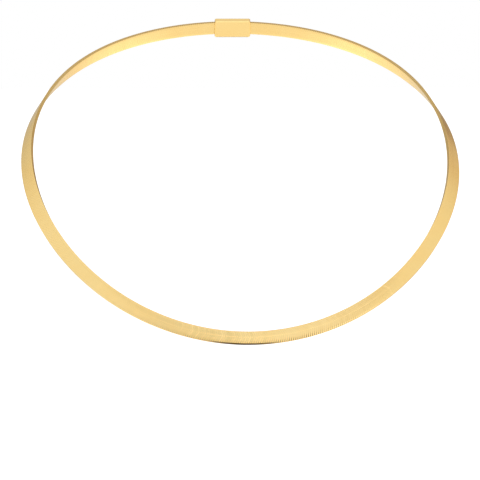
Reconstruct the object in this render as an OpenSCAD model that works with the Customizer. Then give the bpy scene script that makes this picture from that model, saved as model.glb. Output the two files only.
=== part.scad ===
// Herringbone chain, as it lies round a neck.
// A flat woven gold band hangs as one closed loop, low at the front and high at the nape,
// and a plain clasp behind the neck holds its two ends.
// Sizes are in millimetres. The origin is the middle of the clasp's inner face, where it rests
// on the nape. +Z is up, the front of the chain is at -Y, and left and right are alike.

/* [Loop] */
// Width of the loop, between the middles of the band at its two sides
loop_w = 125; // [110:0.5:140]
// Depth of the loop, from the middle of the band at the front to the nape
loop_d = 102.5; // [90:0.5:115]
// How far the front hangs below the nape
drop = 84.5; // [50:0.5:100]
// How far the sides, on the shoulders, are lifted out of the loop's sloping plane
shoulder_lift = 6; // [0:0.5:12]

/* [Lean of the face] */
// Lean of the face from upright towards facing up, in degrees: the mean all the way round
lean_mean = 41; // [30:1:50]
// Added at the front and taken off at the nape
lean_front = 8; // [0:1:12]
// Added at the front and the nape and taken off at the sides
lean_middle = -7; // [-10:1:0]
// Added at the front and taken off at the nape, in three waves round the loop
lean_waves = -2; // [-4:1:4]

/* [Band] */
// Width of the woven band
band_w = 4; // [3:0.1:5]
// Thickness of the band, two layers of flattened links
band_t = 1.0; // [0.7:0.05:1.2]
// Radius at the band's long edges, where each link turns over
band_edge_r = 0.1; // [0.1:0.01:0.3]

/* [Clasp] */
// Length of the clasp along the loop
clasp_l = 11; // [9:0.5:14]
// Height of the clasp on the neck
clasp_h = 5.6; // [5.6:0.1:7]
// Thickness of the clasp
clasp_t = 2.4; // [2.2:0.1:3]
// Radius at the clasp's four corners, seen from behind
clasp_corner_r = 0.7; // [0.3:0.1:0.9]
// Radius at the clasp's ends, seen from above
clasp_end_r = 0.5; // [0.2:0.1:0.6]
// Depth of the socket at each end that takes the end of the band
socket_depth = 1.2; // [0.8:0.1:2]
// Gap between the band's end and its socket, all round
socket_gap = 0.15; // [0.12:0.01:0.2]

/* [Hidden] */

gold = "#EFCB87";
clasp_gold = "#E3BC74";

// Fineness of the swept band: the turn between two rings, in degrees, and steps in each rounded edge
ring_step = 2.5;
edge_steps = 3;
// Fineness of the clasp's rounded corners
clasp_fn = 48;
// Overlap that makes a cut run clean through a face
through = 1;

half_w = loop_w / 2;
half_d = loop_d / 2;

function unit(v) = v / norm(v);

// The turn runs round the loop: 0 at the front, 90 at the wearer's left side, 180 at the nape.
function loop_point(turn) = [
    half_w * sin(turn),
    -half_d * (1 + cos(turn)),
    -drop * (1 + cos(turn)) / 2 + shoulder_lift * pow(sin(turn), 2)
];

// Direction of the loop at a turn, from the slope of loop_point
function along(turn) = unit([
    half_w * cos(turn),
    half_d * sin(turn),
    drop * sin(turn) / 2 + 2 * shoulder_lift * sin(turn) * cos(turn)
]);

// Direction straight away from the neck, square to the loop
function away(turn) =
    let (level = [sin(turn) / half_w, -cos(turn) / half_d, 0], run = along(turn))
    unit(level - (level * run) * run);

// Direction up the neck, square to both
function up_neck(turn) = cross(away(turn), along(turn));

function lean(turn) = lean_mean + lean_front * cos(turn) + lean_middle * cos(2 * turn)
    + lean_waves * cos(3 * turn);

// Directions of the band itself: out of its face, and across its width towards the upper edge
function face_out(turn) = away(turn) * cos(lean(turn)) + up_neck(turn) * sin(lean(turn));
function across(turn) = up_neck(turn) * cos(lean(turn)) - away(turn) * sin(lean(turn));

// The band ends inside the clasp's sockets. The clasp's middle lies between the two ends.
nape = 180;
end_turn = nape - asin((clasp_l / 2 - socket_depth + socket_gap) / half_w);
nape_lean = lean(nape);
clasp_middle = face_out(nape) * clasp_t / 2;
end_height = [0, loop_point(end_turn)[1], loop_point(end_turn)[2]];

function band_point(turn) = loop_point(turn) - end_height + clasp_middle;

// Cross-section of the band, a flat bar with rounded long edges.
// Each point is a distance across the width and a distance out of the face.
corners = [
    // side, face, first angle of the rounding
    [1, 1, 0],
    [-1, 1, 90],
    [-1, -1, 180],
    [1, -1, 270]
];
section = [
    for (corner = corners, step = [0 : edge_steps])
        let (angle = corner[2] + 90 * step / edge_steps)
        [
            corner[0] * (band_w / 2 - band_edge_r) + band_edge_r * cos(angle),
            corner[1] * (band_t / 2 - band_edge_r) + band_edge_r * sin(angle)
        ]
];

ring_count = 2 * ceil(end_turn / ring_step) + 1;
function ring_turn(i) = -end_turn + 2 * end_turn * i / (ring_count - 1);

module herringbone_band() {
    sides = len(section);
    points = [
        for (i = [0 : ring_count - 1], q = section)
            band_point(ring_turn(i)) + q[0] * across(ring_turn(i)) + q[1] * face_out(ring_turn(i))
    ];
    skin = [
        for (i = [0 : ring_count - 2], j = [0 : sides - 1], half = [0, 1])
            let (
                here = i * sides + j,
                beside = i * sides + (j + 1) % sides,
                next = here + sides,
                next_beside = beside + sides
            )
            half == 0 ? [here, beside, next_beside] : [here, next_beside, next]
    ];
    first_end = [for (j = [sides - 1 : -1 : 0]) j];
    last_end = [for (j = [0 : sides - 1]) (ring_count - 1) * sides + j];
    color(gold)
    polyhedron(points = points, faces = concat(skin, [first_end, last_end]));
}

// A flat oblong with round corners, its middle at the origin
module oblong(length, height, radius) {
    square([length - 2 * radius, height], center = true);
    square([length, height - 2 * radius], center = true);
    for (x = [-1, 1], y = [-1, 1])
        translate([x * (length / 2 - radius), y * (height / 2 - radius)])
        circle(radius, $fn = clasp_fn);
}

// The clasp is rounded as seen from behind and as seen from above, and the two shapes meet.
module clasp_block() {
    intersection() {
        rotate([90, 0, 0])
        linear_extrude(clasp_t, center = true)
        oblong(clasp_l, clasp_h, clasp_corner_r);

        linear_extrude(clasp_h + through, center = true)
        oblong(clasp_l, clasp_t, clasp_end_r);
    }
}

module clasp() {
    color(clasp_gold)
    translate(clasp_middle)
    rotate([nape_lean, 0, 0])
    difference() {
        clasp_block();
        for (side = [-1, 1])
            translate([side * (clasp_l / 2 - socket_depth + (socket_depth + through) / 2), 0, 0])
            cube([socket_depth + through, band_t + 2 * socket_gap, band_w + 2 * socket_gap],
                center = true);
    }
}

herringbone_band();
clasp();
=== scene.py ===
# %% [markdown]
# A flat herringbone chain in yellow gold, shown as it lies round a neck: low in front and
# high at the nape, where a plain clasp holds its two ends. The solids of the same chain are
# already made and packed. This lesson loads them as a fixed frame and builds the real
# surface over them: the slanted links, the polished gold and the studio round it.
# The frame stays where it is, so everything here is in metres and in the frame's own place.

# %% Load the frame
import math
import bmesh
import bpy
import numpy as np
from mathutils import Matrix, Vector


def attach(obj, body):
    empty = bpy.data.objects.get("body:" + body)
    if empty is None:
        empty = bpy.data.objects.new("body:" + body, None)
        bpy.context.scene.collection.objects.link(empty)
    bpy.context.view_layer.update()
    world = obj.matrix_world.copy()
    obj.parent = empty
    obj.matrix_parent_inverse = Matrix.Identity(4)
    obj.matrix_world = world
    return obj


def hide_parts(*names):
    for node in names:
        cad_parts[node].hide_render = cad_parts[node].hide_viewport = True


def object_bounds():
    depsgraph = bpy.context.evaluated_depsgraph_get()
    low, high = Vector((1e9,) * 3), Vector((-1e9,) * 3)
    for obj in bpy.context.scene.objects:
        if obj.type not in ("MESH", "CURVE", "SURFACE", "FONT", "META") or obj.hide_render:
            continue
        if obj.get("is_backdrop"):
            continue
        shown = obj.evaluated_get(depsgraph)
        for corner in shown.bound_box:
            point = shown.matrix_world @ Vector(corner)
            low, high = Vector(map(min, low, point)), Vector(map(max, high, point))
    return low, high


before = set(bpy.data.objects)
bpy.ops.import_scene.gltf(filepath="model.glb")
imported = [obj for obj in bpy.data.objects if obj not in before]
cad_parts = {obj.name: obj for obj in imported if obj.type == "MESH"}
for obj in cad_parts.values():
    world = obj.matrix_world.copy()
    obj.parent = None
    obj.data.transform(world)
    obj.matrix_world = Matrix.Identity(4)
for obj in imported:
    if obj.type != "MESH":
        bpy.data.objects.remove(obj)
cad_low, cad_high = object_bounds()
MM = 0.001
print("frame box in mm:", [round((high - low) / MM, 1) for low, high in zip(cad_low, cad_high)])

# %% [markdown]
# Colours are written as the hex values that a picture editor shows. Blender mixes light in
# linear values, so one function turns the one into the other. Two small helpers build the
# finishes: one fills a node's sockets with values or links, and one adds a node and fills it.

# %% Colour and node helpers
def linear(hex_colour):
    """The linear values of an sRGB hex colour, with an alpha of 1."""
    channels = [int(hex_colour[i:i + 2], 16) / 255 for i in (1, 3, 5)]
    return [c / 12.92 if c <= 0.04045 else ((c + 0.055) / 1.055) ** 2.4 for c in channels] + [1.0]


def plug(tree, node, inputs):
    """Fills sockets. Each takes a plain value, a socket, or a node for its first live output."""
    for name, value in inputs.items():
        if isinstance(value, bpy.types.Node):
            value = next(output for output in value.outputs if output.enabled)
        if isinstance(value, bpy.types.NodeSocket):
            tree.links.new(value, node.inputs[name])
        else:
            node.inputs[name].default_value = value


def add_node(tree, kind, inputs=None, **settings):
    """A new node with its settings, its sockets filled."""
    node = tree.nodes.new(kind)
    for name, value in settings.items():
        setattr(node, name, value)
    plug(tree, node, inputs or {})
    return node


print("white paper is", linear("#FFFFFF"))

# %% [markdown]
# The band follows one closed loop that rises from the front to the nape and is lifted a
# little over the shoulders. Such a route could be drawn as a curve by hand, but a formula
# with a few real sizes is smoother and fits the solids exactly. The turn is 0 at the front
# and half a circle at the nape, and it grows towards the wearer's left.

# %% The route of the loop
LOOP_W = 125 * MM
LOOP_D = 102.5 * MM
DROP = 84.5 * MM
SHOULDER_LIFT = 6 * MM


def unit(v):
    return v / np.linalg.norm(v, axis=-1, keepdims=True)


def loop_point(turn):
    """The middle of the band, before the loop is seated on the nape."""
    x = LOOP_W / 2 * np.sin(turn)
    y = -LOOP_D / 2 * (1 + np.cos(turn))
    z = -DROP / 2 * (1 + np.cos(turn)) + SHOULDER_LIFT * np.sin(turn) ** 2
    return np.stack([x, y, z], axis=-1)


def along(turn):
    """The direction in which the band runs."""
    x = LOOP_W / 2 * np.cos(turn)
    y = LOOP_D / 2 * np.sin(turn)
    z = DROP / 2 * np.sin(turn) + 2 * SHOULDER_LIFT * np.sin(turn) * np.cos(turn)
    return unit(np.stack([x, y, z], axis=-1))


print("front of the loop, before seating, in mm:", loop_point(np.array([0.0]))[0] / MM)

# %% [markdown]
# A flat band also has a twist. On a neck its face leans back to lie on the skin: about
# forty degrees from upright at the front, more on the chest beside it, and less at the
# nape. A short cosine series gives that lean, and with it the two directions of the band:
# out of its face, and across its width.

# %% The lean of the face
LEAN_MEAN = 41
LEAN_FRONT = 8
LEAN_MIDDLE = -7
LEAN_WAVES = -2


def lean(turn):
    degrees = (LEAN_MEAN + LEAN_FRONT * np.cos(turn) + LEAN_MIDDLE * np.cos(2 * turn)
               + LEAN_WAVES * np.cos(3 * turn))
    return np.radians(degrees)[..., None]


def band_directions(turn):
    """Out of the face, and across the width towards the upper edge."""
    run = along(turn)
    level = np.stack([np.sin(turn) / LOOP_W, -np.cos(turn) / LOOP_D, 0 * turn], axis=-1)
    away = unit(level - np.sum(level * run, axis=-1, keepdims=True) * run)
    up_neck = np.cross(away, run)
    face_out = away * np.cos(lean(turn)) + up_neck * np.sin(lean(turn))
    across = up_neck * np.cos(lean(turn)) - away * np.sin(lean(turn))
    return face_out, across


print("lean at front, side and nape:", [round(math.degrees(lean(np.array([t]))[0, 0]))
                                        for t in (0, math.pi / 2, math.pi)])

# %% [markdown]
# The band ends inside the clasp, a little short of the bottom of each socket, and the whole
# loop is moved so that the clasp's inner face sits on the frame's origin. Links are evenly
# spaced along the band, so a table of length against turn is needed too.

# %% Seat the loop on the nape and measure it
CLASP_L = 11 * MM
CLASP_H = 5.6 * MM
CLASP_T = 2.4 * MM
SOCKET_DEPTH = 1.2 * MM
SOCKET_GAP = 0.15 * MM

nape = np.array([math.pi])
end_turn = math.pi - math.asin((CLASP_L / 2 - SOCKET_DEPTH + SOCKET_GAP) / (LOOP_W / 2))
clasp_middle = band_directions(nape)[0][0] * CLASP_T / 2
end_point = loop_point(np.array([end_turn]))[0]
seat = clasp_middle - np.array([0, end_point[1], end_point[2]])

TABLE_STEPS = 4000
table_turn = np.linspace(-end_turn, end_turn, TABLE_STEPS)
steps = np.linalg.norm(np.diff(loop_point(table_turn), axis=0), axis=-1)
table_length = np.concatenate([[0], np.cumsum(steps)])
band_length = table_length[-1]


def lay_on_loop(points):
    """Moves points of a straight band (along, across, out of the face) onto the loop."""
    turn = np.interp(points[:, 0], table_length, table_turn)
    face_out, across = band_directions(turn)
    return loop_point(turn) + seat + points[:, 1:2] * across + points[:, 2:3] * face_out


print("band from end to end:", round(band_length / MM, 1), "mm")

# %% [markdown]
# A herringbone chain is a row of flat V-shaped links pressed tightly together. Each link
# slants one way in the upper half of the band and the other way in the lower half, so the
# links point along the chain like arrow heads. Six hundred and sixty separate links would be
# hard to close into one skin, so one link is modelled as a short length of the band's skin,
# straight and flat, and repeated. First comes its outline across the band: flat rows
# on the face and the back, a fine crease where the rows meet, and edges that the press leaves
# sharp in front and a little rounder behind. Polishing takes more metal off near both edges,
# and wear on the skin takes still more behind, so the flat rolls off there.

# %% The outline of the band
BAND_W = 4 * MM
BAND_T = 1.0 * MM
FRONT_EDGE_R = 0.025 * MM
BACK_EDGE_R = 0.045 * MM
EDGE_STEPS = 4
CREASE = 0.015 * MM
# Places of the outline's points as shares of half the width, and what polishing has taken there
ROLL_OFF = {0.84: 0.018 * MM, 0.62: 0.009 * MM, 0.36: 0.002 * MM, 0.06: 0}
FRONT_RIM_ROLL_OFF = 0.025 * MM
BACK_RIM_ROLL_OFF = 0.08 * MM

half_face = [(BAND_W / 2 * place, off) for place, off in ROLL_OFF.items()]
face_points = half_face + [(0.0, CREASE)] + [(-a, off) for a, off in reversed(half_face)]


def band_outline():
    """Points round the band's section: across the width, out of the face, and the way out."""
    points = []
    half_t = BAND_T / 2
    for quarter, (side, face) in enumerate([(1, 1), (-1, 1), (-1, -1), (1, -1)]):
        radius, rolled_off = ((FRONT_EDGE_R, FRONT_RIM_ROLL_OFF) if face > 0
                              else (BACK_EDGE_R, BACK_RIM_ROLL_OFF))
        for step in range(EDGE_STEPS + 1):
            angle = math.pi / 2 * (quarter + step / EDGE_STEPS)
            out = (math.cos(angle), math.sin(angle))
            points.append((side * (BAND_W / 2 - radius) + radius * out[0],
                           face * (half_t - rolled_off - radius) + radius * out[1], out))
        if side == face:
            points += [(side * a, face * (half_t - off), (0, face)) for a, off in face_points]
        else:
            points.append((side * BAND_W / 2, 0, (side, 0)))
    return points


outline = band_outline()
print("points round the band:", len(outline))

# %% [markdown]
# The press leaves the bars of the links flat and the grooves between them mere hairlines.
# Where the loop stretches its lower edge, the tips of the links stand apart, and the grooves
# open and deepen there and show as fine teeth. So a groove has two sizes, with the links
# closed and with them open, and the open one grows towards the lower rim.

# %% The grooves
LINKS = 660
SLANT = math.radians(20)
FACE_GROOVE = 0.016 * MM
CLOSED_SIDE_GROOVE = 0.08 * MM
OPEN_RIM_GROOVE = 0.17 * MM
OPEN_SIDE_GROOVE = 0.24 * MM
# How late towards the rim an open groove deepens and widens: 1 would be evenly from the middle
LATE_DEPTH = 3
LATE_WIDTH = 2
# Share of a link that one wall of its groove takes
SHOULDER = 0.07
OPEN_SHOULDER = 0.23
pitch = band_length / LINKS


def groove_size(across_band, side_share, links_open):
    """Depth of a groove and the share of a link that its wall takes."""
    lower = max(0, -across_band / (BAND_W / 2)) if links_open else 0
    rim = FACE_GROOVE + (OPEN_RIM_GROOVE - FACE_GROOVE) * lower ** LATE_DEPTH
    side = CLOSED_SIDE_GROOVE + (OPEN_SIDE_GROOVE - CLOSED_SIDE_GROOVE) * lower
    shoulder = SHOULDER + (OPEN_SHOULDER - SHOULDER) * lower ** LATE_WIDTH
    return rim + (side - rim) * side_share, shoulder


for links_open in (False, True):
    depth, _ = groove_size(-BAND_W / 2, 0, links_open)
    print("groove at the lower rim,", "open:" if links_open else "closed:", round(depth / MM, 3), "mm")

# %% [markdown]
# Along the band, one link has three rings of points: the bottom of the groove to its neighbour
# and the two shoulders of its bar. A fourth ring is the next link's first. Each point is placed
# as it lies with the links open and keeps, as attributes, the way back to its place with them
# closed. It also keeps how dull it is and how much painted shade darkens it: most in the deepest
# groove, most of all between the tips of open links, where little light comes back out, and a
# little on the upper side, which is painted darker. The lower side gets almost none.

# %% The rings of a link
RINGS = 3
MERGE_WITHIN = 0.002 * MM
# Each adds dullness and painted shade: between the tips of open links, on the upper side, and hardly
# any on the lower side
GAP_DULL_AND_SHADE = 1.0
UPPER_SIDE_DULL_AND_SHADE = 0.16
LOWER_SIDE_DULL_AND_SHADE = 0.01


def link_point(section_point, ring, links_open):
    """Where a ring crosses a point of the outline, and how deep in the groove that is."""
    across_band, face, out = section_point
    bottom, shoulder = groove_size(across_band, abs(out[0]), links_open)
    place, depth = [(0, bottom), (shoulder, 0), (1 - shoulder, 0), (1, bottom)][ring]
    run = place * pitch - math.tan(SLANT) * abs(across_band)
    return np.array([run, across_band - out[0] * depth, face - out[1] * depth]), depth


def place_ring(row, ring, layers):
    """Puts a row of points round the band. The last point of the row comes back to the first."""
    for vert, section_point in zip(row, outline + outline[:1]):
        open_place, open_depth = link_point(section_point, ring, True)
        closed_place, closed_depth = link_point(section_point, ring, False)
        vert.co = open_place
        vert[layers["to_closed"]] = closed_place - open_place
        way_out = section_point[2][0]
        # This value also darkens the colour: painted shade in the grooves and on the upper side
        side_dull_and_shade = abs(way_out) * (UPPER_SIDE_DULL_AND_SHADE if way_out > 0 else LOWER_SIDE_DULL_AND_SHADE)
        gap_dull_and_shade = open_depth / OPEN_SIDE_GROOVE * (1 + GAP_DULL_AND_SHADE * abs(way_out))
        vert[layers["open_dull_and_shade"]] = max(gap_dull_and_shade, side_dull_and_shade)
        vert[layers["closed_dull_and_shade"]] = max(closed_depth / OPEN_SIDE_GROOVE, side_dull_and_shade)


print("points in the rings of one link:", RINGS * len(outline))

# %% [markdown]
# A grid gives each ring a row and each point of the outline a column, and one column more.
# The rows are put in their places round the band, and the last column, which then lies on the
# first, is merged with it, so that the skin is closed. Extruding a circle would do the same,
# but its faces come in another order each run, and the cut ends of the band with them. The
# edges of every ring are marked as sharp, because a pressed bar ends in a crisp corner and its
# groove in a crisp line.

# %% One link
def link_mesh():
    bm = bmesh.new()
    layers = {"to_closed": bm.verts.layers.float_vector.new("to_closed")}
    for name in ("open_dull_and_shade", "closed_dull_and_shade"):
        layers[name] = bm.verts.layers.float.new(name)
    bmesh.ops.create_grid(bm, x_segments=len(outline), y_segments=RINGS, size=BAND_W)
    verts = list(bm.verts)
    for ring in range(RINGS + 1):
        row = verts[ring * (len(outline) + 1):][:len(outline) + 1]
        place_ring(row, ring, layers)
        for edge in map(bm.edges.get, zip(row, row[1:])):
            edge.smooth = False
    bmesh.ops.remove_doubles(bm, verts=bm.verts, dist=MERGE_WITHIN)
    mesh = bpy.data.meshes.new("one_link")
    bm.to_mesh(mesh)
    bm.free()
    return mesh


one_link = link_mesh()
print("one link:", len(one_link.polygons), "faces,", round(pitch / MM, 3), "mm long")

# %% [markdown]
# The Array modifier repeats the link and merges each end ring with the next link's first
# ring, so the straight band is one skin. It is made a few links too long, because its ends
# are V-shaped: both are then cut square, as a jeweller trims a chain, points that the cut
# leaves on top of each other are merged, and the ends are closed. Smooth shading alone would
# bend the light towards each groove and make round bars of flat ones. So faces that the press
# has left flat are shaded flat, and only what really turns is smooth.

# %% The straight band
EXTRA_LINKS = 2
ALL_LINKS = LINKS + 2 * EXTRA_LINKS
# A face is flat when its normal keeps to one axis by this much
PRESSED_FLAT = 0.9999


def straight_band():
    source = bpy.data.objects.new("one_link", one_link)
    bpy.context.scene.collection.objects.link(source)
    array = source.modifiers.new("repeat", "ARRAY")
    array.count = ALL_LINKS
    array.use_relative_offset = False
    array.use_constant_offset = True
    array.constant_offset_displace = (pitch, 0, 0)
    array.use_merge_vertices = True
    array.merge_threshold = MERGE_WITHIN
    graph = bpy.context.evaluated_depsgraph_get()
    mesh = bpy.data.meshes.new_from_object(source.evaluated_get(graph))
    bpy.data.objects.remove(source)
    bm = bmesh.new()
    bm.from_mesh(mesh)
    bmesh.ops.translate(bm, vec=(-EXTRA_LINKS * pitch, 0, 0), verts=bm.verts)
    for end, way in ((0, -1), (band_length, 1)):
        bmesh.ops.bisect_plane(bm, geom=[*bm.verts, *bm.edges, *bm.faces],
                               plane_co=(end, 0, 0), plane_no=(way, 0, 0), clear_outer=True)
    bmesh.ops.remove_doubles(bm, verts=bm.verts, dist=MERGE_WITHIN)
    rim = [edge for edge in bm.edges if edge.is_boundary]
    bmesh.ops.holes_fill(bm, edges=rim, sides=0)
    bmesh.ops.recalc_face_normals(bm, faces=bm.faces)
    for face in bm.faces:
        face.smooth = max(abs(part) for part in face.normal) < PRESSED_FLAT
    bm.to_mesh(mesh)
    bm.free()
    return mesh


band_mesh = straight_band()
print("straight band:", len(band_mesh.polygons), "faces")

# %% [markdown]
# How far the lower edge is stretched follows from the route: it is the part of the loop's
# bend that lies in the band's own plane, times the way from the middle to the edge. It is
# nearly four hundredths at the front and nothing at the nape, so the teeth show in front only
# and the links close up towards the shoulders. No such chain is quite even, and on this one
# the links on the wearer's left hang a little closer.

# %% Close the links where the loop doesn't stretch them
STRETCH_CLOSED = 0.0285
STRETCH_OPEN = 0.0355
LEFT_CLOSER = 0.005


def mesh_values(mesh, name, kind, width):
    """An attribute of the mesh's points as an array."""
    values = np.empty(len(mesh.vertices) * width)
    mesh.attributes[name].data.foreach_get(kind, values)
    return values.reshape(-1, width)


def mesh_points(mesh):
    return mesh_values(mesh, "position", "vector", 3)


def keep(mesh, name, kind, values):
    """Keeps one value, or one vector, for each point of the mesh as an attribute."""
    attribute = mesh.attributes.new(name, kind, "POINT")
    attribute.data.foreach_set("vector" if kind == "FLOAT_VECTOR" else "value", values.ravel())


bend = np.gradient(along(table_turn), table_length, axis=0)
stretch = BAND_W / 2 * np.sum(bend * band_directions(table_turn)[1], axis=-1)
uneven = stretch - LEFT_CLOSER * np.maximum(np.sin(table_turn), 0)
table_open = np.clip((uneven - STRETCH_CLOSED) / (STRETCH_OPEN - STRETCH_CLOSED), 0, 1)


def close_links(mesh):
    points = mesh_points(mesh)
    links_open = np.interp(points[:, 0], table_length, table_open)[:, None]
    points += mesh_values(mesh, "to_closed", "vector", 3) * (1 - links_open)
    mesh.vertices.foreach_set("co", points.ravel())
    # Dullness and painted shade, between their values with the links closed and open
    keep(mesh, "dull_and_shade", "FLOAT", mesh_values(mesh, "open_dull_and_shade", "value", 1) * links_open
         + mesh_values(mesh, "closed_dull_and_shade", "value", 1) * (1 - links_open))


close_links(band_mesh)
print("stretch of the lower edge, front and side:", round(stretch.max(), 3),
      round(float(np.interp(-math.pi / 2, table_turn, stretch)), 3))

# %% [markdown]
# No two links lie quite alike: each is rocked a fraction of a degree and its tips stand a
# hair further in or out than its neighbours'. That is what makes such a chain glitter when
# it moves. The same numbers are drawn each time, because the drawing starts from a seed.
# Each point also keeps its place on the straight band, in millimetres, so that a finish can
# follow the band round the loop, and each link keeps a tone of its own.

# %% Loosen the links and note each point's place
SEED = 16
LINK_ROCK = math.radians(0.6)
TIP_SPREAD = 0.012 * MM
# Within this share of a link from its middle a point is on the bar, and not in a groove
BAR_SHARE = 0.45
# How close to the rim the spread of the tips stays: higher is closer
TIP_ONLY = 8
draw = np.random.default_rng(SEED)


def loosen_links(mesh):
    points = mesh_points(mesh)
    straightened = (points[:, 0] + math.tan(SLANT) * np.abs(points[:, 1])) / pitch + EXTRA_LINKS
    link = np.clip(np.floor(straightened).astype(int), 0, ALL_LINKS)
    from_middle = (straightened - link - 0.5) * pitch
    rock = draw.normal(0, LINK_ROCK, ALL_LINKS + 1)
    tip = draw.uniform(-1, 0, (ALL_LINKS + 1, 2)) * TIP_SPREAD
    is_bar = np.abs(from_middle) < BAR_SHARE * pitch
    at_rim = np.clip(np.abs(points[:, 1]) / (BAND_W / 2), 0, 1) ** TIP_ONLY
    points[:, 2] += np.where(is_bar, from_middle * rock[link], 0)
    side = (points[:, 1] > 0).astype(int)
    points[:, 1] += np.where(is_bar, np.sign(points[:, 1]) * tip[link, side] * at_rim, 0)
    mesh.vertices.foreach_set("co", points.ravel())
    keep(mesh, "band_place", "FLOAT_VECTOR", points / MM)
    keep(mesh, "link_tone", "FLOAT", draw.random(ALL_LINKS + 1)[link])


loosen_links(band_mesh)
print("links loosened by up to", round(TIP_SPREAD / MM, 3), "mm at their tips")

# %% [markdown]
# Now the straight band is laid on the loop. A Curve modifier would carry it along a curve,
# but it can't be told how the face leans, so each point is moved by the route's own
# formula instead.

# %% Lay the band on the loop
def lay_band(mesh):
    laid = lay_on_loop(mesh_points(mesh))
    mesh.vertices.foreach_set("co", laid.ravel())
    mesh.update()


lay_band(band_mesh)
band_mesh.name = "herringbone_links"
links = bpy.data.objects.new("herringbone_links", band_mesh)
bpy.context.scene.collection.objects.link(links)
print("band laid on the loop:", [round(d / MM, 1) for d in links.dimensions])

# %% [markdown]
# The clasp is behind the neck, so it is one plain piece: a small gold box with soft edges
# and a socket at each end for the band. A cube is stretched to size, its end faces are inset
# and pushed in to make the sockets, and its outer edges are bevelled.

# %% The clasp
CLASP_CORNER_R = 0.5 * MM
CLASP_BEVEL_STEPS = 4


def clasp_mesh():
    bm = bmesh.new()
    bmesh.ops.create_cube(bm, size=1)
    bmesh.ops.scale(bm, vec=(CLASP_L, CLASP_T, CLASP_H), verts=bm.verts)
    outer = list(bm.edges)
    ends = [f for f in bm.faces if round(f.normal.x) != 0]
    for end in ends:
        bmesh.ops.inset_region(bm, faces=[end], thickness=(CLASP_T - BAND_T) / 2 - SOCKET_GAP)
        for vert in end.verts:
            vert.co.z = math.copysign(BAND_W / 2 + SOCKET_GAP, vert.co.z)
        inwards = (-round(end.normal.x) * SOCKET_DEPTH, 0, 0)
        bottom = bmesh.ops.extrude_discrete_faces(bm, faces=[end])["faces"][0]
        bmesh.ops.translate(bm, vec=inwards, verts=bottom.verts)
    bmesh.ops.bevel(bm, geom=outer, offset=CLASP_CORNER_R, offset_type="OFFSET",
                    segments=CLASP_BEVEL_STEPS, profile=0.5, affect="EDGES", material=-1)
    bmesh.ops.remove_doubles(bm, verts=bm.verts, dist=MERGE_WITHIN)
    bmesh.ops.recalc_face_normals(bm, faces=bm.faces)
    mesh = bpy.data.meshes.new("clasp_case")
    bm.to_mesh(mesh)
    bm.free()
    return mesh


def seat_clasp(mesh):
    points = mesh_points(mesh)
    face_out, across = (d[0] for d in band_directions(nape))
    placed = clasp_middle + points[:, 0:1] * np.array([1, 0, 0])
    placed = placed + points[:, 1:2] * face_out + points[:, 2:3] * across
    mesh.vertices.foreach_set("co", placed.ravel())
    mesh.update()


case_mesh = clasp_mesh()
seat_clasp(case_mesh)
clasp_case = bpy.data.objects.new("clasp_case", case_mesh)
bpy.context.scene.collection.objects.link(clasp_case)
print("clasp:", len(case_mesh.polygons), "faces")

# %% [markdown]
# The polishing wheel runs along the chain and leaves fine lines, which make its gold satin
# rather than glassy. They are some hundredths of a millimetre wide on the real chain and are
# drawn five times as coarse, so that they show at all. Wear is a slow, uneven change of gloss
# and tone. Both are noise, drawn out into streaks or left round, and most of a noise's values
# lie in a narrow span, which is then spread between the two ends of what it changes.

# %% Streaks and patches
POLISH_LINE = 0.2
POLISH_LINE_LENGTH = 12
POLISH_DETAIL = 2.0
WEAR_PATCH = 9
WEAR_DETAIL = 3.0
NOISE_SPAN = {"From Min": 0.25, "From Max": 0.75}


def streaks(tree, place, width, length, detail):
    """Noise drawn out along the first axis of a place that is given in millimetres."""
    stretched = add_node(tree, "ShaderNodeVectorMath", {
        0: place, 1: (1 / length, 1 / width, 1 / width)}, operation="MULTIPLY")
    return add_node(tree, "ShaderNodeTexNoise", {
        "Vector": stretched, "Scale": 1.0, "Detail": detail})


print("polishing lines:", POLISH_LINE, "by", POLISH_LINE_LENGTH, "mm, wear patches:", WEAR_PATCH, "mm")

# %% [markdown]
# The metal is fourteen carat yellow gold. Pressed and polished, it is a soft mirror: its
# colour is the tint of what it reflects. The grooves are duller, and painted shade darkens
# them towards a deep brown; each link has a faint tone of its own.

# %% Gold
GOLD = "#FFDE95"
WORN_GOLD = "#FFD98B"
# A dark brown that the grooves and the upper side are mixed towards: painted shade
PAINTED_GROOVE_SHADE = "#55300C"
# Taken off and added to the roughness by wear, and by the polishing lines
WEAR_ROUGHNESS = (0.02, 0.03)
LINE_ROUGHNESS = 0.025
# Depth of the polishing lines, and how much of it shows
LINE_DEPTH = 0.01 * MM
LINE_STRENGTH = 0.12
# Most that a dull groove adds to the roughness
GROOVE_ROUGHNESS = 0.3
# How soon a groove looks dull and is darkened by painted shade: below 1 is sooner than its depth
DULL_AND_SHADE_CURVE = 0.5
# Most that a link's own tone turns its colour towards worn gold
LINK_TONE = 0.35
# A Mix node names its sockets alike for numbers and for colours, so they go by number
SHARE, FIRST, SECOND = 0, 6, 7


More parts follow.
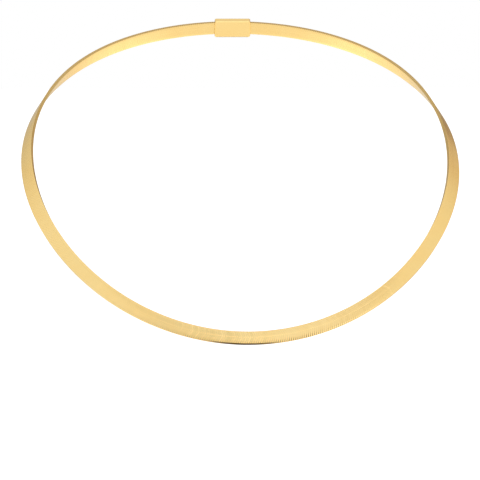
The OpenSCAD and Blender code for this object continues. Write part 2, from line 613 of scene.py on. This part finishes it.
def woven_gold(tree, colour, rough):
    """The colour and roughness of the links, with dullness and painted shade in their grooves, and
    their own tones.
    """
    depth = add_node(tree, "ShaderNodeAttribute", attribute_name="dull_and_shade").outputs["Fac"]
    tone = add_node(tree, "ShaderNodeAttribute", attribute_name="link_tone").outputs["Fac"]
    dull_and_shade = add_node(tree, "ShaderNodeMath", {0: depth, 1: DULL_AND_SHADE_CURVE}, operation="POWER")
    matt = add_node(tree, "ShaderNodeMath", {0: dull_and_shade, 1: GROOVE_ROUGHNESS}, operation="MULTIPLY")
    tint = add_node(tree, "ShaderNodeMath", {0: tone, 1: LINK_TONE}, operation="MULTIPLY")
    toned = add_node(tree, "ShaderNodeMix", {SHARE: tint, FIRST: colour, SECOND: linear(WORN_GOLD)},
                     data_type="RGBA")
    # Painted shade: the colour is mixed towards a dark brown in the grooves and on the upper side
    groove_shaded = add_node(tree, "ShaderNodeMix", {SHARE: dull_and_shade, FIRST: toned, SECOND: linear(PAINTED_GROOVE_SHADE)},
                       data_type="RGBA")
    return groove_shaded, add_node(tree, "ShaderNodeMath", {0: rough, 1: matt}, operation="ADD")


def polished_gold(name, place_of, gloss, woven=False):
    material = bpy.data.materials.new(name)
    material.use_nodes = True
    tree = material.node_tree
    place = place_of(tree)
    lines = streaks(tree, place, POLISH_LINE, POLISH_LINE_LENGTH, POLISH_DETAIL)
    wear = streaks(tree, place, WEAR_PATCH, WEAR_PATCH, WEAR_DETAIL)
    worn = add_node(tree, "ShaderNodeMapRange", {"Value": wear, **NOISE_SPAN, "To Min": 0, "To Max": 1})
    colour = add_node(tree, "ShaderNodeMix", {
        SHARE: worn, FIRST: linear(GOLD), SECOND: linear(WORN_GOLD)}, data_type="RGBA")
    smoother, rougher = WEAR_ROUGHNESS
    wear_rough = add_node(tree, "ShaderNodeMapRange", {
        "Value": wear, **NOISE_SPAN, "To Min": gloss - smoother, "To Max": gloss + rougher})
    line_rough = add_node(tree, "ShaderNodeMapRange", {
        "Value": lines, **NOISE_SPAN, "To Min": -LINE_ROUGHNESS, "To Max": LINE_ROUGHNESS})
    rough = add_node(tree, "ShaderNodeMath", {0: wear_rough, 1: line_rough}, operation="ADD")
    if woven:
        colour, rough = woven_gold(tree, colour, rough)
    bump = add_node(tree, "ShaderNodeBump", {
        "Height": lines, "Strength": LINE_STRENGTH, "Distance": LINE_DEPTH})
    plug(tree, tree.nodes["Principled BSDF"], {
        "Metallic": 1.0, "Base Color": colour, "Roughness": rough, "Normal": bump})
    return material


print("gold, worn gold and groove:", GOLD, WORN_GOLD, PAINTED_GROOVE_SHADE)

# %% [markdown]
# The band and the clasp share the metal and not the finish. The band's lines follow it round
# the loop, by the place that each of its points keeps. The clasp is straight, so its lines
# follow its own length, and a smooth small case takes a brighter polish than a woven band.

# %% Finish of the band and the clasp
# Roughness of each before wear
WEAVE_GLOSS = 0.19
CLASP_GLOSS = 0.15


def along_the_band(tree):
    return add_node(tree, "ShaderNodeAttribute", attribute_name="band_place").outputs["Vector"]


def along_the_clasp(tree):
    """Object coordinates in millimetres: the clasp is long in X, and so are its lines."""
    here = add_node(tree, "ShaderNodeTexCoord").outputs["Object"]
    return add_node(tree, "ShaderNodeVectorMath", {0: here, "Scale": 1 / MM}, operation="SCALE")


gold_weave = polished_gold("pressed_polished_gold", along_the_band, WEAVE_GLOSS, woven=True)
gold_clasp = polished_gold("plain_polished_gold", along_the_clasp, CLASP_GLOSS)
for piece, material in ((links, gold_weave), (clasp_case, gold_clasp)):
    piece.data.materials.clear()
    piece.data.materials.append(material)
print("materials:", [m.name for m in bpy.data.materials])

# %% [markdown]
# The studio is plain: a wide pale floor under the chain, and soft light from all round. The
# floor is matt white paper. The gold doesn't mirror it, because the light that is drawn next
# stands for all that gold sees.

# %% The floor
# In metres: below the chain's lowest point, and along each side
FLOOR_BELOW = 0.16
FLOOR_SIZE = 12
PAPER = "#F4F3F1"
PAPER_ROUGHNESS = 0.9
PAPER_GLOW = 0.45


def pale_floor():
    bm = bmesh.new()
    bmesh.ops.create_grid(bm, x_segments=1, y_segments=1, size=FLOOR_SIZE / 2)
    bmesh.ops.translate(bm, vec=(0, 0, cad_low[2] - FLOOR_BELOW), verts=bm.verts)
    mesh = bpy.data.meshes.new("floor")
    bm.to_mesh(mesh)
    bm.free()
    floor = bpy.data.objects.new("floor", mesh)
    bpy.context.scene.collection.objects.link(floor)
    material = bpy.data.materials.new("matt_white_paper")
    material.use_nodes = True
    plug(material.node_tree, material.node_tree.nodes["Principled BSDF"], {
        "Base Color": linear(PAPER), "Roughness": PAPER_ROUGHNESS,
        "Emission Color": linear("#FFFFFF"), "Emission Strength": PAPER_GLOW})
    mesh.materials.append(material)
    floor.visible_glossy = False
    floor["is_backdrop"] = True


pale_floor()
print("floor:", FLOOR_SIZE, "m square,", FLOOR_BELOW, "m below the chain")

# %% [markdown]
# Gold shows nothing but its surroundings, so the small changes of this light are what shape
# it, and it is drawn by direction in the world's nodes. Two ramps give its strength by height,
# from straight below to straight overhead. The light is nearly even in front. On the far side
# it is brightest below and dimmest a little over the horizon. A smooth step turns one into
# the other.

# %% Light by direction
world = bpy.data.worlds.new("studio")
bpy.context.scene.world = world
world.use_nodes = True
sky = world.node_tree
sky.nodes.clear()
direction = add_node(sky, "ShaderNodeTexCoord").outputs["Generated"]
sideways, deep, high = add_node(sky, "ShaderNodeSeparateXYZ", {"Vector": direction}).outputs

# Height from -1, straight below, to 1, straight overhead, and the light there
FRONT_LIGHT = [(-1, 1.0), (0, 1.05), (0.8, 0.98), (1, 0.91)]
FAR_LIGHT = [(-1, 1.6), (-0.8, 1.6), (-0.62, 1.22), (-0.45, 1.02), (-0.02, 0.6), (0.12, 0.54),
             (0.26, 0.6), (0.42, 0.67), (0.64, 0.77), (0.8, 0.84), (1, 0.91)]
# Depth of the direction, -1 in front and 1 behind, where the far side's light begins and is full
FAR_BEGINS = -0.5
FAR_FULL = 0.35


def light_by_height(steps):
    share = add_node(sky, "ShaderNodeMapRange", {"Value": high, "From Min": -1.0})
    ramp = add_node(sky, "ShaderNodeValToRGB", {"Fac": share})
    while len(ramp.color_ramp.elements) < len(steps):
        ramp.color_ramp.elements.new(0.5)
    for element, (height, light) in zip(ramp.color_ramp.elements, steps):
        element.position = (height + 1) / 2
        element.color = (light, light, light, 1)
    return ramp


turned_back = add_node(sky, "ShaderNodeMapRange", {
    "Value": deep, "From Min": FAR_BEGINS, "From Max": FAR_FULL}, interpolation_type="SMOOTHSTEP")
light = add_node(sky, "ShaderNodeMix", {
    SHARE: turned_back, FIRST: light_by_height(FRONT_LIGHT), SECOND: light_by_height(FAR_LIGHT)},
    data_type="RGBA")
print("light by height:", FRONT_LIGHT, FAR_LIGHT)

# %% [markdown]
# Soft patches are laid over that light: a warm shade far behind on the right, a grey one
# behind it near the horizon, cooler light from the left, and a lamp high over the camera with
# soft glows below it and two small shades beside it. Each is a cone of directions that fades
# out between two angles.

# %% Lamps and shades
# Turn from straight back towards the right, rise, inner and outer angle in degrees, and what
# the red, green and blue of the light are multiplied by
PATCHES = [
    (45, 14, 6, 50, (0.97, 0.85, 0.73)),
    (28, 8, 4, 22, (0.66, 0.60, 0.54)),
    (-120, 62, 5, 28, (1.00, 1.045, 1.13)),
    (163, 75.5, 0, 7, (1.28, 1.43, 1.85)),
    (160, 61, 2, 13, (1.35, 1.45, 1.68)),
    (176, 62, 3, 14, (1.15, 1.16, 1.22)),
    (178, 73.5, 0, 5, (0.52, 0.47, 0.38)),
    (148, 71.5, 0, 7, (0.72, 0.67, 0.60)),
    (-168, 66, 1, 6, (1.08, 1.08, 1.14)),
]


def cone(turn, rise, inner, outer):
    """1 within the inner angle of a direction, and 0 beyond the outer one."""
    turn, rise, inner, outer = (math.radians(a) for a in (turn, rise, inner, outer))
    towards = (math.sin(turn) * math.cos(rise), math.cos(turn) * math.cos(rise), math.sin(rise))
    facing = add_node(sky, "ShaderNodeVectorMath", {0: direction, 1: towards}, operation="DOT_PRODUCT")
    return add_node(sky, "ShaderNodeMapRange", {
        "Value": facing, "From Min": math.cos(outer), "From Max": math.cos(inner)},
        interpolation_type="SMOOTHSTEP")


for *angles, tint in PATCHES:
    light = add_node(sky, "ShaderNodeMix", {
        SHARE: cone(*angles), FIRST: light, SECOND: (*tint, 1)},
        data_type="RGBA", blend_type="MULTIPLY")
print("patches:", len(PATCHES))

# %% [markdown]
# The dark strip is narrow from side to side, like a gap between two sheets of paper. It starts
# straight below the chain and ends less than halfway up to the far horizon. The lower edge at
# the front looks down into it, and so does the back of the front stretch where it is seen
# level from behind. The face looks elsewhere and stays bright.

# %% Dark strip
STRIP_MIDDLE = 0.015
# Each edge of the strip: where it is fully dark, and where it has ended
STRIP_HALF_WIDTH = (0.15, 0.18)
STRIP_TOP = (-0.5, -0.3)
STRIP_NEAR = (0.09, 0.01)
STRIP_FAR = (0.55, 0.70)
STRIP = "#281806"

to_middle = add_node(sky, "ShaderNodeMath", {0: sideways, 1: STRIP_MIDDLE}, operation="SUBTRACT")
off_middle = add_node(sky, "ShaderNodeMath", {0: to_middle}, operation="ABSOLUTE")
strip = 1.0
for value, (inside, outside) in ((off_middle, STRIP_HALF_WIDTH), (high, STRIP_TOP),
                                 (deep, STRIP_NEAR), (deep, STRIP_FAR)):
    edge = add_node(sky, "ShaderNodeMapRange", {
        "Value": value, "From Min": outside, "From Max": inside}, interpolation_type="SMOOTHSTEP")
    strip = add_node(sky, "ShaderNodeMath", {0: strip, 1: edge}, operation="MULTIPLY")
light = add_node(sky, "ShaderNodeMix", {SHARE: strip, FIRST: light, SECOND: linear(STRIP)},
                 data_type="RGBA")
print("dark strip:", STRIP, "within", STRIP_HALF_WIDTH, "of", STRIP_MIDDLE)

# %% [markdown]
# Now the world is joined up. The camera sees plain white paper behind the chain, and
# everything else sees the light that was drawn by direction.

# %% Background
studio = add_node(sky, "ShaderNodeBackground", {"Color": light, "Strength": 1.0})
paper = add_node(sky, "ShaderNodeBackground", {"Color": linear("#FFFFFF"), "Strength": 1.0})
seen_by_camera = add_node(sky, "ShaderNodeLightPath").outputs["Is Camera Ray"]
both = add_node(sky, "ShaderNodeMixShader", {0: seen_by_camera, 1: studio, 2: paper})
add_node(sky, "ShaderNodeOutputWorld", {"Surface": both})
print("world nodes:", len(sky.nodes))

# %% [markdown]
# The camera is a long lens, level with the chain and a touch above it, and stands a few
# degrees to the wearer's right of the middle, as the lowest point of the chain shows. Its
# distance only sets how much smaller the nape looks than the front.

# %% Camera
CAMERA_TURN = -2.8
CAMERA_RISE = 5.0
# In metres: how far away the camera stands, and how far it sees
CAMERA_DISTANCE = 0.9
VIEW_DEPTH = 50
PICTURE = 480
MM_PER_PIXEL = 0.2945
SENSOR = 36
# The camera looks midway between front and nape, this far above the front and to its left
AIM_ABOVE_FRONT = 23.0 * MM
AIM_TO_THE_LEFT = 0.14 * MM


def photo_camera():
    data = bpy.data.cameras.new("camera")
    data.sensor_width = SENSOR
    data.lens = SENSOR * CAMERA_DISTANCE / (PICTURE * MM_PER_PIXEL * MM)
    data.clip_end = VIEW_DEPTH
    data.dof.use_dof = False
    camera = bpy.data.objects.new("camera", data)
    bpy.context.scene.collection.objects.link(camera)
    turn, rise = math.radians(CAMERA_TURN), math.radians(CAMERA_RISE)
    front = loop_point(np.array([0.0]))[0] + seat
    aim = np.array([-AIM_TO_THE_LEFT, front[1] + LOOP_D / 2, front[2] + AIM_ABOVE_FRONT])
    back = np.array([math.sin(turn) * math.cos(rise), -math.cos(turn) * math.cos(rise), math.sin(rise)])
    camera.location = aim + back * CAMERA_DISTANCE
    camera.rotation_euler = (math.pi / 2 - rise, 0, turn)
    bpy.context.scene.camera = camera
    return camera


camera = photo_camera()
bpy.context.scene.view_settings.view_transform = "Standard"
print("lens:", round(camera.data.lens), "mm")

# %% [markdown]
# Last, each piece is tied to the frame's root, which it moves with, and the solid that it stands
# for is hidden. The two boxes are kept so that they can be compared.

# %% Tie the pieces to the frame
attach(links, "root")
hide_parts("herringbone_band")
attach(clasp_case, "root")
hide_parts("clasp")

low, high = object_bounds()
print("visual box in mm:", [round((b - a) / MM, 1) for a, b in zip(low, high)])
